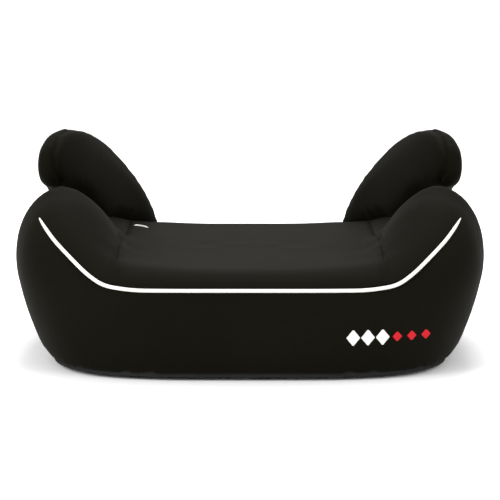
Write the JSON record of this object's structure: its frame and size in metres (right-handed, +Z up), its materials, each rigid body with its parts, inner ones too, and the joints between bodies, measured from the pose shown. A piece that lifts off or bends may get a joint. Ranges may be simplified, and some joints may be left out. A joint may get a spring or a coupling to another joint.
{
  "type": "booster seat",
  "caption": "Backless car booster seat in black fabric with white piping, raised side bolsters, curved armrests and belt slots.",
  "frame": {"origin": "centre of the footprint, on the surface the feet stand on", "axes": "+Z up, -Y towards the front edge, +X along the width"},
  "size_m": [0.44, 0.374, 0.2117],
  "materials": {
    "cover_fabric": "matte knitted polyester",
    "piping": "satin woven piping",
    "thread_white": "satin embroidery thread",
    "thread_red": "satin embroidery thread",
    "foam": "open cell foam, matte",
    "moulding": "grained polypropylene",
    "screw_steel": "zinc plated",
    "foot_rubber": "matte",
    "elastic": "ribbed elastic",
    "hook_plastic": "satin"
  },
  "bodies": {
    "root": {"seat_cover": "cover_fabric", "left_bolster_cover": "cover_fabric", "right_bolster_cover": "cover_fabric", "skirt_cover": "cover_fabric", "rear_cover": "cover_fabric", "left_armrest_inner_cover": "cover_fabric", "left_armrest_outer_cover": "cover_fabric", "right_armrest_inner_cover": "cover_fabric", "right_armrest_outer_cover": "cover_fabric", "front_piping": "piping", "left_slot_piping": "piping", "right_slot_piping": "piping", "motif_white": "thread_white", "motif_red": "thread_red", "seat_foam": "foam", "left_bolster_foam": "foam", "right_bolster_foam": "foam", "skirt_wadding": "foam", "left_armrest_foam": "foam", "right_armrest_foam": "foam", "base_shell": "moulding", "base_plate": "moulding", "left_armrest_shell": "moulding", "right_armrest_shell": "moulding", "base_plate_screws": "screw_steel", "armrest_screws": "screw_steel", "rubber_feet": "foot_rubber", "hem_elastic": "elastic", "cover_hooks": "hook_plastic"}
  },
  "joints": []
}
